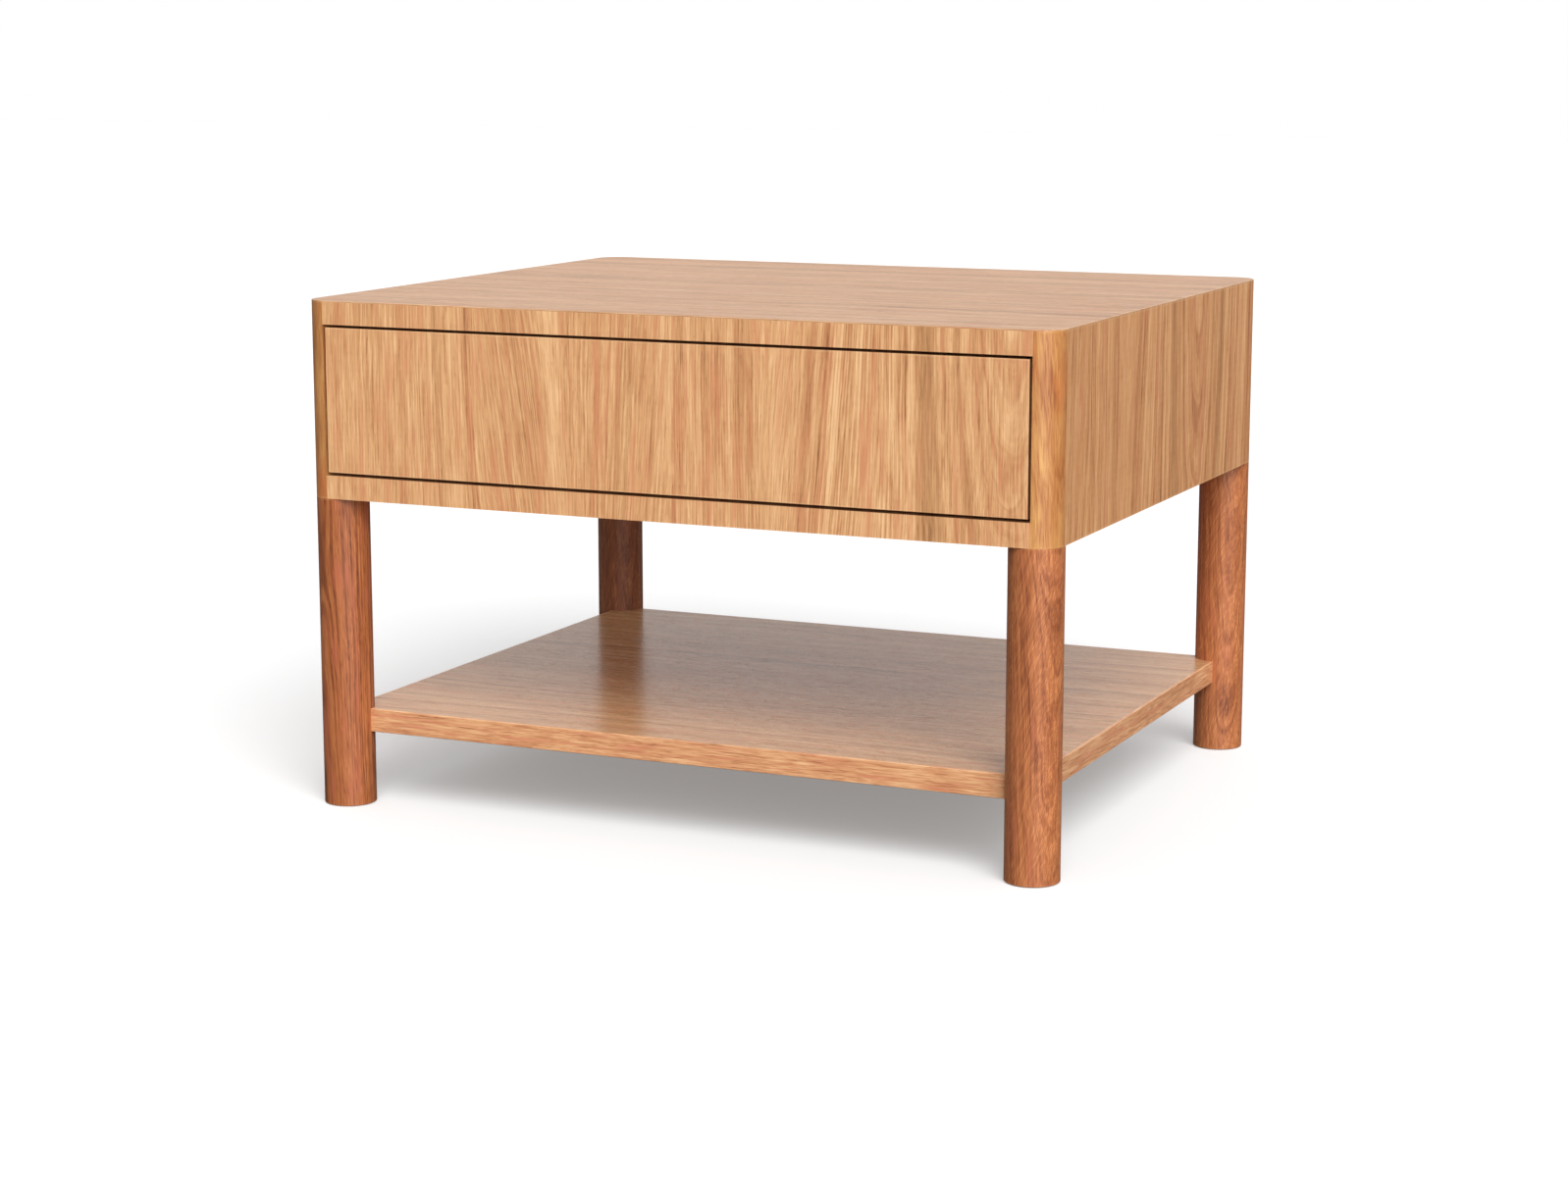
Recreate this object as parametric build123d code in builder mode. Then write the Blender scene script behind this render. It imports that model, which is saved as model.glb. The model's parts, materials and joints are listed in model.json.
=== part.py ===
from build123d import *
import os

# Side table with one push-to-open drawer, four round legs and a lower shelf.
# Frame: origin on the floor under the middle of the top, +Z up, +X to the right and +Y to the back,
# so the drawer opens towards -Y. All lengths are in millimetres.

os.makedirs("parts", exist_ok=True)

# ---------------------------------------------------------------- driving dimensions
WIDTH, DEPTH, HEIGHT = 600, 500, 390
CORNER_RADIUS = 20  # outside vertical corners of the case, and the radius of each leg
CASE_HEIGHT = 150
BOARD = 18  # thickness of every case board, the shelf and the drawer front
TOP_VENEER = 1
DRAWER_GAP = 2  # shadow gap all round the drawer front
SHELF_TOP = 75
EDGE_BAND = 1.5
ARRIS = 0.4  # tiny bevel that softens an edge

BOX_LENGTH, BOX_HEIGHT, BOX_BOARD = 400, 90, 12  # drawer box
BOX_UP = 10  # room between the case's bottom panel and the drawer box
BOX_BOTTOM_BOARD, BOTTOM_GROOVE_DEPTH, BOTTOM_GROOVE_UP = 6, 6, 10

RUNNER_LENGTH, RUNNER_WIDTH, RUNNER_SHEET = 400, 12.7, 1.1
BALL_RADIUS, BALL_CLEARANCE, GROOVE_DEPTH = 1.7, 0.08, 0.4
CAGE_LENGTH, CAGE_SHEET, BALLS_IN_ROW, BALL_PITCH = 180, 0.5, 8, 22

LATCH_X, LATCH_Z = 150, 320
PRESS_IN = 3  # how far the closed drawer can be pressed in to release its latches
RECESS_WIDTH, RECESS_DEPTH = 0.6, 0.8  # cross recess of the screws

# ---------------------------------------------------------------- derived places
CASE_BOTTOM = HEIGHT - CASE_HEIGHT
PANEL_TOP = HEIGHT - TOP_VENEER  # underside of the top veneer
TOP_UNDERSIDE = HEIGHT - BOARD
FLOOR_TOP = CASE_BOTTOM + BOARD  # upper face of the bottom panel
FRONT, BACK = -DEPTH / 2, DEPTH / 2
INSIDE_X = WIDTH / 2 - BOARD  # inner face of each side panel
INSIDE_Y = DEPTH / 2 - BOARD  # inner face of rails and back panel
LEG_X, LEG_Y = WIDTH / 2 - CORNER_RADIUS, DEPTH / 2 - CORNER_RADIUS
SHELF_MIDDLE = SHELF_TOP - BOARD / 2

BOX_FRONT = FRONT + BOARD  # the drawer box starts behind the drawer front
BOX_BACK = BOX_FRONT + BOX_LENGTH
BOX_X = INSIDE_X - RUNNER_WIDTH  # outer face of each box side
BOX_INSIDE_X = BOX_X - BOX_BOARD
BOX_LOW = FLOOR_TOP + BOX_UP
BOX_HIGH = BOX_LOW + BOX_HEIGHT
RUNNER_Z = (BOX_LOW + BOX_HIGH) / 2
BOTTOM_LOW = BOX_LOW + BOTTOM_GROOVE_UP
BOTTOM_HIGH = BOTTOM_LOW + BOX_BOTTOM_BOARD

LEFT, RIGHT = -1, 1
SIDES = {"left": LEFT, "right": RIGHT}
CORNERS = {
    "front_left": (LEFT, -1),
    "front_right": (RIGHT, -1),
    "back_left": (LEFT, 1),
    "back_right": (RIGHT, 1),
}
CORNER_SIGNS = list(CORNERS.values())


def save(part, name):
    """Label a finished piece and write it to its own STEP file."""
    part.label = name
    export_step(part, f"parts/{name}.step")


def slab(low, high):
    """A square-edged board between two opposite corners."""
    with BuildPart() as board:
        with BuildSketch(Plane.XY.offset(low[2])):
            with Locations(((low[0] + high[0]) / 2, (low[1] + high[1]) / 2)):
                Rectangle(high[0] - low[0], high[1] - low[1])
        extrude(amount=high[2] - low[2])
    return board.part


def rod(start, direction, length, radius):
    """A plain round bar from start, along direction."""
    with BuildPart() as bar:
        with BuildSketch(Plane(origin=start, z_dir=direction)):
            Circle(radius)
        extrude(amount=length)
    return bar.part


def countersunk_blank(length, radius, head_radius):
    """A pointed flat-head screw along -Z, its head's face at the origin, before its recess is cut."""
    cone = head_radius - radius
    with BuildPart() as blank:
        with BuildSketch(Plane.XZ):
            with BuildLine():
                Polyline(
                    (0, 0),
                    (head_radius, 0),
                    (radius, -cone),
                    (radius, 2 * radius - length),
                    (0, -length),
                    close=True,
                )
            make_face()
        revolve(axis=Axis.Z)
    return blank.part


def pan_blank(length, radius, head_radius, head_height):
    """A pointed round-head screw along -Z, the underside of its head at the origin."""
    with BuildPart() as blank:
        with BuildSketch(Plane.XZ):
            with BuildLine():
                Polyline(
                    (0, head_height),
                    (0, -length),
                    (radius, 2 * radius - length),
                    (radius, 0),
                    (head_radius, 0),
                    (head_radius, head_height),
                    close=True,
                )
            make_face()
        revolve(axis=Axis.Z)
        fillet(blank.edges().sort_by(Axis.Z)[-1], 0.6 * head_height)
    return blank.part


def with_recess(blank, head_radius, depth):
    """The finished screw: a cross recess cut into the top of its head."""
    with BuildPart() as screw:
        add(blank)
        with BuildSketch(Plane.XY.offset(blank.bounding_box().max.Z)):
            Rectangle(head_radius, RECESS_WIDTH)
            Rectangle(RECESS_WIDTH, head_radius)
        extrude(amount=-depth, mode=Mode.SUBTRACT)
    return screw.part


def placed(piece, planes):
    """Copies of one fastener, each with its own Z axis along the plane's normal."""
    with BuildPart() as group:
        for plane in planes:
            add(plane.location * piece)
    return group.part


def screw_set(name, blank, head_radius, planes):
    """Save a set of identical screws, and return their outlines for cutting the screw holes."""
    save(placed(with_recess(blank, head_radius, RECESS_DEPTH), planes), name)
    return placed(blank, planes)


# ---------------------------------------------------------------- dowels and fasteners
CASE_DOWEL_RADIUS, CASE_DOWEL_IN_SIDE, CASE_DOWEL_IN_PANEL = 4, 12, 18
CASE_DOWEL_Y = (-150, 0, 150)
CASE_DOWEL_LENGTH = CASE_DOWEL_IN_SIDE + CASE_DOWEL_IN_PANEL
with BuildPart() as case_dowels:
    for z in (CASE_BOTTOM + BOARD / 2, (TOP_UNDERSIDE + PANEL_TOP) / 2):
        for y in CASE_DOWEL_Y:
            for side in (LEFT, RIGHT):
                start = (side * (INSIDE_X - CASE_DOWEL_IN_PANEL), y, z)
                add(rod(start, (side, 0, 0), CASE_DOWEL_LENGTH, CASE_DOWEL_RADIUS))
save(case_dowels.part, "case_dowels")

# Each leg hangs on one bolt, set towards the middle of the table so that it clears the case joints,
# and a dowel into the corner post stops the leg from turning.
BOLT_SET_IN, BOLT_RADIUS, BOLT_HOLE_RADIUS = 8, 4, 4.25
BOLT_HEAD_RADIUS, BOLT_HEAD_HEIGHT, BOLT_LENGTH, BOLT_HEX = 8.5, 2.5, 35, 2.9
INSERT_RADIUS, INSERT_LENGTH = 6, 20
LEG_DOWEL_SET_OUT, LEG_DOWEL_RADIUS, LEG_DOWEL_LENGTH = 9, 4, 40
bolt_places = [(i * (LEG_X - BOLT_SET_IN), j * (LEG_Y - BOLT_SET_IN)) for i, j in CORNER_SIGNS]

with BuildPart() as leg_bolts:
    with BuildSketch(Plane.XY.offset(FLOOR_TOP)):
        with Locations(*bolt_places):
            Circle(BOLT_HEAD_RADIUS)
    extrude(amount=-BOLT_HEAD_HEIGHT)
    with BuildSketch(Plane.XY.offset(FLOOR_TOP)):
        with Locations(*bolt_places):
            Circle(BOLT_RADIUS)
    extrude(amount=-BOLT_LENGTH)
    with BuildSketch(Plane.XY.offset(FLOOR_TOP)):
        with Locations(*bolt_places):
            RegularPolygon(BOLT_HEX, 6)
    extrude(amount=-0.8 * BOLT_HEAD_HEIGHT, mode=Mode.SUBTRACT)
save(leg_bolts.part, "leg_bolts")

with BuildPart() as leg_inserts:
    with BuildSketch(Plane.XY.offset(CASE_BOTTOM)):
        with Locations(*bolt_places):
            Circle(INSERT_RADIUS)
            Circle(BOLT_RADIUS, mode=Mode.SUBTRACT)
    extrude(amount=-INSERT_LENGTH)
save(leg_inserts.part, "leg_inserts")

with BuildPart() as leg_dowels:
    for i, j in CORNER_SIGNS:
        dowel_x, dowel_y = i * (LEG_X + LEG_DOWEL_SET_OUT), j * (LEG_Y + LEG_DOWEL_SET_OUT)
        start = (dowel_x, dowel_y, CASE_BOTTOM - LEG_DOWEL_LENGTH / 2)
        add(rod(start, (0, 0, 1), LEG_DOWEL_LENGTH, LEG_DOWEL_RADIUS))
save(leg_dowels.part, "leg_dowels")

SHELF_DOWEL_RADIUS, SHELF_DOWEL_LENGTH, SHELF_DOWEL_START = 4, 50, 6
with BuildPart() as shelf_dowels:
    for i, j in CORNER_SIGNS:
        inward = Vector(-i, -j, 0).normalized()
        start = Vector(i * LEG_X, j * LEG_Y, SHELF_MIDDLE) + inward * SHELF_DOWEL_START
        add(rod(start, inward, SHELF_DOWEL_LENGTH, SHELF_DOWEL_RADIUS))
save(shelf_dowels.part, "shelf_dowels")

GLIDE_RADIUS, GLIDE_THICKNESS, GLIDE_PROUD = 13, 3, 0.5
with BuildPart() as leg_glides:
    with BuildSketch(Plane.XY):
        with Locations(*[(i * LEG_X, j * LEG_Y) for i, j in CORNER_SIGNS]):
            Circle(GLIDE_RADIUS)
    extrude(amount=GLIDE_THICKNESS)
    chamfer(leg_glides.faces().sort_by(Axis.Z)[:4].edges(), ARRIS)
save(leg_glides.part, "leg_glides")

SCREW_RADIUS, SCREW_HEAD_RADIUS, SCREW_HEAD_HEIGHT = 1.75, 3.3, 1.9
CABINET_SCREW_LENGTH, DRAWER_SCREW_LENGTH = 14, 10
cabinet_screw_y, drawer_screw_y = (-196, -30, 142), (-198, -34, 138)
cabinet_web = INSIDE_X - RUNNER_SHEET  # inner face of the cabinet member's web
drawer_web = BOX_X + RUNNER_SHEET  # outer face of the drawer member's web
runner_cabinet_screw_holes = screw_set(
    "runner_cabinet_screws",
    countersunk_blank(CABINET_SCREW_LENGTH, SCREW_RADIUS, SCREW_HEAD_RADIUS),
    SCREW_HEAD_RADIUS,
    [
        Plane(origin=(side * cabinet_web, y, RUNNER_Z), z_dir=(-side, 0, 0))
        for side in (LEFT, RIGHT)
        for y in cabinet_screw_y
    ],
)
runner_drawer_screw_holes = screw_set(
    "runner_drawer_screws",
    pan_blank(DRAWER_SCREW_LENGTH, SCREW_RADIUS, SCREW_HEAD_RADIUS, SCREW_HEAD_HEIGHT),
    SCREW_HEAD_RADIUS,
    [
        Plane(origin=(side * drawer_web, y, RUNNER_Z), z_dir=(side, 0, 0))
        for side in (LEFT, RIGHT)
        for y in drawer_screw_y
    ],
)

FRONT_SCREW_LENGTH, FRONT_SCREW_RADIUS, FRONT_SCREW_HEAD = 25, 2, 4
FRONT_SCREW_X, FRONT_SCREW_DOWN, FRONT_SCREW_UP = 190, 16, 27  # places from the runner's middle
drawer_front_screw_holes = screw_set(
    "drawer_front_screws",
    countersunk_blank(FRONT_SCREW_LENGTH, FRONT_SCREW_RADIUS, FRONT_SCREW_HEAD),
    FRONT_SCREW_HEAD,
    [
        Plane(origin=(x, BOX_FRONT + BOX_BOARD, z), z_dir=(0, 1, 0))
        for x in (-FRONT_SCREW_X, FRONT_SCREW_X)
        for z in (RUNNER_Z - FRONT_SCREW_DOWN, RUNNER_Z + FRONT_SCREW_UP)
    ],
)

BOTTOM_SCREW_LENGTH, BOTTOM_SCREW_RADIUS, BOTTOM_SCREW_HEAD = 16, 1.5, 3
BOTTOM_SCREW_X = (-180, 0, 180)
BOX_BACK_MIDDLE = BOX_BACK - BOX_BOARD / 2
drawer_bottom_screw_holes = screw_set(
    "drawer_bottom_screws",
    countersunk_blank(BOTTOM_SCREW_LENGTH, BOTTOM_SCREW_RADIUS, BOTTOM_SCREW_HEAD),
    BOTTOM_SCREW_HEAD,
    [Plane(origin=(x, BOX_BACK_MIDDLE, BOTTOM_LOW), z_dir=(0, 0, -1)) for x in BOTTOM_SCREW_X],
)

BOX_DOWEL_RADIUS, BOX_DOWEL_IN_SIDE, BOX_DOWEL_LENGTH = 3, 8, 24
BOX_DOWEL_DOWN, BOX_DOWEL_UP = 13, 29  # places from the runner's middle
with BuildPart() as drawer_dowels:
    for side in (LEFT, RIGHT):
        for y in (BOX_FRONT + BOX_BOARD / 2, BOX_BACK_MIDDLE):
            for z in (RUNNER_Z - BOX_DOWEL_DOWN, RUNNER_Z + BOX_DOWEL_UP):
                start = (side * (BOX_INSIDE_X + BOX_DOWEL_IN_SIDE), y, z)
                add(rod(start, (-side, 0, 0), BOX_DOWEL_LENGTH, BOX_DOWEL_RADIUS))
save(drawer_dowels.part, "drawer_dowels")

# ---------------------------------------------------------------- case
with BuildPart() as top_veneer:
    with BuildSketch(Plane.XY.offset(PANEL_TOP)):
        RectangleRounded(WIDTH, DEPTH, CORNER_RADIUS)
    extrude(amount=TOP_VENEER)
    chamfer(top_veneer.faces().sort_by(Axis.Z)[-1].edges(), ARRIS)
save(top_veneer.part, "top_veneer")


def case_piece(name, x_span, y_span, z_span, cut=()):
    """One upright or flat board of the case, trimmed to the case's rounded outline."""
    with BuildPart() as piece:
        with BuildSketch(Plane.XY.offset(z_span[0])):
            with Locations(((x_span[0] + x_span[1]) / 2, (y_span[0] + y_span[1]) / 2)):
                Rectangle(x_span[1] - x_span[0], y_span[1] - y_span[0])
            RectangleRounded(WIDTH, DEPTH, CORNER_RADIUS, mode=Mode.INTERSECT)
        extrude(amount=z_span[1] - z_span[0])
        for tool in cut:
            add(tool, mode=Mode.SUBTRACT)
    save(piece.part, name)


with BuildPart() as bolt_holes:
    with BuildSketch(Plane.XY.offset(CASE_BOTTOM)):
        with Locations(*bolt_places):
            Circle(BOLT_HOLE_RADIUS)
    extrude(amount=BOARD)
    with BuildSketch(Plane.XY.offset(FLOOR_TOP)):
        with Locations(*bolt_places):
            Circle(BOLT_HEAD_RADIUS)
    extrude(amount=-BOLT_HEAD_HEIGHT)

CASE_Z, INNER_X, INNER_Y = (CASE_BOTTOM, PANEL_TOP), (-INSIDE_X, INSIDE_X), (-INSIDE_Y, INSIDE_Y)
case_piece("top_panel", INNER_X, INNER_Y, (TOP_UNDERSIDE, PANEL_TOP), [case_dowels.part])
case_piece(
    "bottom_panel",
    INNER_X,
    INNER_Y,
    (CASE_BOTTOM, FLOOR_TOP),
    [case_dowels.part, bolt_holes.part],
)
case_piece("front_top_rail", INNER_X, (FRONT, -INSIDE_Y), (TOP_UNDERSIDE, PANEL_TOP))
case_piece("front_bottom_rail", INNER_X, (FRONT, -INSIDE_Y), (CASE_BOTTOM, FLOOR_TOP))

LATCH_SCREW_LENGTH, LATCH_EAR_SPACING, LATCH_EAR = 12, 32, 3
latch_screw_holes = screw_set(
    "latch_screws",
    pan_blank(LATCH_SCREW_LENGTH, SCREW_RADIUS, SCREW_HEAD_RADIUS, SCREW_HEAD_HEIGHT),
    SCREW_HEAD_RADIUS,
    [
        Plane(origin=(side * LATCH_X + ear, INSIDE_Y - LATCH_EAR, LATCH_Z), z_dir=(0, -1, 0))
        for side in (LEFT, RIGHT)
        for ear in (-LATCH_EAR_SPACING / 2, LATCH_EAR_SPACING / 2)
    ],
)
case_piece("back_panel", INNER_X, (INSIDE_Y, BACK), CASE_Z, [latch_screw_holes])

for side_name, side in SIDES.items():
    case_piece(
        f"{side_name}_side_panel",
        sorted((side * INSIDE_X, side * WIDTH / 2)),
        (-LEG_Y, LEG_Y),
        CASE_Z,
        [case_dowels.part, runner_cabinet_screw_holes],
    )
for corner, (i, j) in CORNERS.items():
    case_piece(
        f"{corner}_post",
        sorted((i * INSIDE_X, i * WIDTH / 2)),
        sorted((j * LEG_Y, j * DEPTH / 2)),
        CASE_Z,
        [leg_dowels.part],
    )

# ---------------------------------------------------------------- legs and shelf
BOLT_TIP_ROOM = 5  # depth of the clearance hole beyond the bolt's tip
BOLT_TIP = FLOOR_TOP - BOLT_LENGTH
for corner, (i, j) in CORNERS.items():
    centre, bolt_place = (i * LEG_X, j * LEG_Y), (i * (LEG_X - BOLT_SET_IN), j * (LEG_Y - BOLT_SET_IN))
    with BuildPart() as leg:
        with BuildSketch(Plane.XY.offset(GLIDE_PROUD)):
            with Locations(centre):
                Circle(CORNER_RADIUS)
        extrude(amount=CASE_BOTTOM - GLIDE_PROUD)
        chamfer(leg.edges().sort_by(Axis.Z)[0], ARRIS)
        with BuildSketch(Plane.XY.offset(GLIDE_PROUD)):
            with Locations(centre):
                Circle(GLIDE_RADIUS)
        extrude(amount=GLIDE_THICKNESS - GLIDE_PROUD, mode=Mode.SUBTRACT)
        with BuildSketch(Plane.XY.offset(CASE_BOTTOM)):
            with Locations(bolt_place):
                Circle(INSERT_RADIUS)
        extrude(amount=-INSERT_LENGTH, mode=Mode.SUBTRACT)
        with BuildSketch(Plane.XY.offset(CASE_BOTTOM)):
            with Locations(bolt_place):
                Circle(BOLT_HOLE_RADIUS)
        extrude(amount=BOLT_TIP - BOLT_TIP_ROOM - CASE_BOTTOM, mode=Mode.SUBTRACT)
        add(leg_dowels.part, mode=Mode.SUBTRACT)
        add(shelf_dowels.part, mode=Mode.SUBTRACT)
    save(leg.part, f"{corner}_leg")

with BuildPart() as leg_envelopes:
    with BuildSketch(Plane.XY):
        with Locations(*[(i * LEG_X, j * LEG_Y) for i, j in CORNER_SIGNS]):
            Circle(CORNER_RADIUS)
    extrude(amount=CASE_BOTTOM)

with BuildPart() as shelf_board:
    with BuildSketch(Plane.XY.offset(SHELF_TOP - BOARD)):
        Rectangle(2 * (LEG_X - EDGE_BAND), 2 * (LEG_Y - EDGE_BAND))
    extrude(amount=BOARD)
    add(leg_envelopes.part, mode=Mode.SUBTRACT)
    add(shelf_dowels.part, mode=Mode.SUBTRACT)
save(shelf_board.part, "shelf_board")

edge_bands = {
    "front": (Axis.Y, 0, (-LEG_X, -LEG_Y), (LEG_X, EDGE_BAND - LEG_Y)),
    "back": (Axis.Y, -1, (-LEG_X, LEG_Y - EDGE_BAND), (LEG_X, LEG_Y)),
    "left": (Axis.X, 0, (-LEG_X, -LEG_Y), (EDGE_BAND - LEG_X, LEG_Y)),
    "right": (Axis.X, -1, (LEG_X - EDGE_BAND, -LEG_Y), (LEG_X, LEG_Y)),
}
for name, (outward, end, low, high) in edge_bands.items():
    with BuildPart() as band:
        add(slab((*low, SHELF_TOP - BOARD), (*high, SHELF_TOP)))
        along = Axis.X if outward == Axis.Y else Axis.Y
        chamfer(band.faces().sort_by(outward)[end].edges().filter_by(along), ARRIS)
        add(leg_envelopes.part, mode=Mode.SUBTRACT)
    save(band.part, f"shelf_{name}_edge_band")

# ---------------------------------------------------------------- drawer
with BuildPart() as drawer_front:
    with BuildSketch(Plane.XZ.offset(-BOX_FRONT)):
        with Locations((0, (FLOOR_TOP + TOP_UNDERSIDE) / 2)):
            Rectangle(
                2 * (INSIDE_X - DRAWER_GAP), TOP_UNDERSIDE - FLOOR_TOP - 2 * DRAWER_GAP
            )
    extrude(amount=BOARD)
    chamfer(drawer_front.faces().sort_by(Axis.Y)[0].edges(), ARRIS)
    add(drawer_front_screw_holes, mode=Mode.SUBTRACT)
save(drawer_front.part, "drawer_front")

with BuildPart() as drawer_bottom:
    add(
        slab(
            (
                -BOX_INSIDE_X - BOTTOM_GROOVE_DEPTH,
                BOX_FRONT + BOX_BOARD - BOTTOM_GROOVE_DEPTH,
                BOTTOM_LOW,
            ),
            (BOX_INSIDE_X + BOTTOM_GROOVE_DEPTH, BOX_BACK, BOTTOM_HIGH),
        )
    )
    add(drawer_bottom_screw_holes, mode=Mode.SUBTRACT)
save(drawer_bottom.part, "drawer_bottom")

with BuildPart() as drawer_sub_front:
    add(
        slab(
            (-BOX_INSIDE_X, BOX_FRONT, BOX_LOW),
            (BOX_INSIDE_X, BOX_FRONT + BOX_BOARD, BOX_HIGH),
        )
    )
    for tool in (drawer_bottom.part, drawer_dowels.part, drawer_front_screw_holes):
        add(tool, mode=Mode.SUBTRACT)
save(drawer_sub_front.part, "drawer_sub_front")

with BuildPart() as drawer_back:
    add(
        slab(
            (-BOX_INSIDE_X, BOX_BACK - BOX_BOARD, BOTTOM_HIGH),
            (BOX_INSIDE_X, BOX_BACK, BOX_HIGH),
        )
    )
    for tool in (drawer_dowels.part, drawer_bottom_screw_holes):
        add(tool, mode=Mode.SUBTRACT)
save(drawer_back.part, "drawer_back")

for side_name, side in SIDES.items():
    inner, outer = sorted((side * BOX_INSIDE_X, side * BOX_X))
    with BuildPart() as box_side:
        add(slab((inner, BOX_FRONT, BOX_LOW), (outer, BOX_BACK, BOX_HIGH)))
        chamfer(box_side.faces().sort_by(Axis.Z)[-1].edges().filter_by(Axis.Y), ARRIS)
        for tool in (drawer_bottom.part, drawer_dowels.part, runner_drawer_screw_holes):
            add(tool, mode=Mode.SUBTRACT)
    save(box_side.part, f"drawer_{side_name}_side")

# ---------------------------------------------------------------- ball-bearing runners
# Across a runner, u is the distance from the side panel and w the height from the runner's middle.
# Three nested channels: the cabinet member on the side panel, the middle member, and the drawer
# member on the box side. Two rows of balls, top and bottom, run between each pair, in grooves.
groove_radius = BALL_RADIUS + BALL_CLEARANCE
ball_to_sheet = groove_radius - GROOVE_DEPTH  # from a ball's centre to the sheet beside it
CABINET_HALF_HEIGHT = 22.5
outer_ball_w = CABINET_HALF_HEIGHT - RUNNER_SHEET - ball_to_sheet
middle_half_height = outer_ball_w - ball_to_sheet
inner_ball_w = middle_half_height - RUNNER_SHEET - ball_to_sheet
drawer_half_height = inner_ball_w - ball_to_sheet
OUTER_BALL_U, INNER_BALL_U = 5.0, 8.2
CABINET_FLANGE_U, MIDDLE_WEB_U, MIDDLE_FLANGE_U, DRAWER_FLANGE_U = 9.0, 2.1, 10.6, 5.6
OUTER_CAGE_U, OUTER_CAGE_FLANGE_U, INNER_CAGE_U, INNER_CAGE_FLANGE_U = 1.35, 7.6, 3.5, 10.4
MEMBER_START = BOX_FRONT + PRESS_IN + 2  # clear of the drawer front when it is pressed in
CAGE_MIDDLE = -30  # chosen so that each cage stays between its members over the whole travel
ball_y = [CAGE_MIDDLE + BALL_PITCH * (n - (BALLS_IN_ROW - 1) / 2) for n in range(BALLS_IN_ROW)]


def channel(side, start, length, web_u, flange_u, half_height, sheet):
    """A C-shaped strip along Y, its web at web_u and its flanges reaching to flange_u."""
    outward = 1 if flange_u > web_u else -1
    section_plane = Plane(
        origin=(side * INSIDE_X, start, RUNNER_Z), x_dir=(-side, 0, 0), z_dir=(0, side, 0)
    )
    with BuildPart() as strip:
        with BuildSketch(section_plane):
            with BuildLine():
                Polyline(
                    (web_u, -half_height),
                    (flange_u, -half_height),
                    (flange_u, sheet - half_height),
                    (web_u + outward * sheet, sheet - half_height),
                    (web_u + outward * sheet, half_height - sheet),
                    (flange_u, half_height - sheet),
                    (flange_u, half_height),
                    (web_u, half_height),
                    close=True,
                )
            make_face()
        extrude(amount=side * length)
    return strip.part


def runner_member(name, side, strip, grooves, screws=None):
    """A channel with the ball grooves rolled into its flanges."""
    with BuildPart() as member:
        add(strip)
        start = member.part.bounding_box().min.Y - 1
        for u, w in grooves:
            for row in (-w, w):
                line_start = (side * (INSIDE_X - u), start, RUNNER_Z + row)
                add(rod(line_start, (0, 1, 0), RUNNER_LENGTH + 2, groove_radius), mode=Mode.SUBTRACT)
        if screws:
            add(screws, mode=Mode.SUBTRACT)
    save(member.part, name)


def cage_and_balls(name, side, web_u, flange_u, ball_u, ball_w):
    """A thin cage with a round window for each ball, and the balls themselves."""
    start = CAGE_MIDDLE - CAGE_LENGTH / 2
    middle_w = ball_w + CAGE_SHEET / 2
    with BuildPart() as cage:
        add(channel(side, start, CAGE_LENGTH, web_u, flange_u, middle_w, CAGE_SHEET))
        for y in ball_y:
            window = (side * (INSIDE_X - ball_u), y, RUNNER_Z - middle_w - 1)
            add(rod(window, (0, 0, 1), 2 * middle_w + 2, groove_radius), mode=Mode.SUBTRACT)
    save(cage.part, f"{name}_cage")
    with BuildPart() as balls:
        centres = [
            (side * (INSIDE_X - ball_u), y, RUNNER_Z + row) for row in (-ball_w, ball_w) for y in ball_y
        ]
        with Locations(*centres):
            Sphere(BALL_RADIUS)
    save(balls.part, f"{name}_balls")


outer_grooves, inner_grooves = [(OUTER_BALL_U, outer_ball_w)], [(INNER_BALL_U, inner_ball_w)]
for side_name, side in SIDES.items():
    runner = f"{side_name}_runner"
    runner_member(
        f"{runner}_cabinet_member",
        side,
        channel(
            side, MEMBER_START, RUNNER_LENGTH, 0, CABINET_FLANGE_U, CABINET_HALF_HEIGHT, RUNNER_SHEET
        ),
        outer_grooves,
        runner_cabinet_screw_holes,
    )
    runner_member(
        f"{runner}_middle_member",
        side,
        channel(
            side,
            MEMBER_START,
            RUNNER_LENGTH,
            MIDDLE_WEB_U,
            MIDDLE_FLANGE_U,
            middle_half_height,
            RUNNER_SHEET,
        ),
        outer_grooves + inner_grooves,
    )
    runner_member(
        f"{runner}_drawer_member",
        side,
        channel(
            side,
            BOX_FRONT,
            RUNNER_LENGTH,
            RUNNER_WIDTH,
            DRAWER_FLANGE_U,
            drawer_half_height,
            RUNNER_SHEET,
        ),
        inner_grooves,
        runner_drawer_screw_holes,
    )
    cage_and_balls(
        f"{runner}_outer", side, OUTER_CAGE_U, OUTER_CAGE_FLANGE_U, OUTER_BALL_U, outer_ball_w
    )
    cage_and_balls(
        f"{runner}_inner", side, INNER_CAGE_U, INNER_CAGE_FLANGE_U, INNER_BALL_U, inner_ball_w
    )

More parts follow.
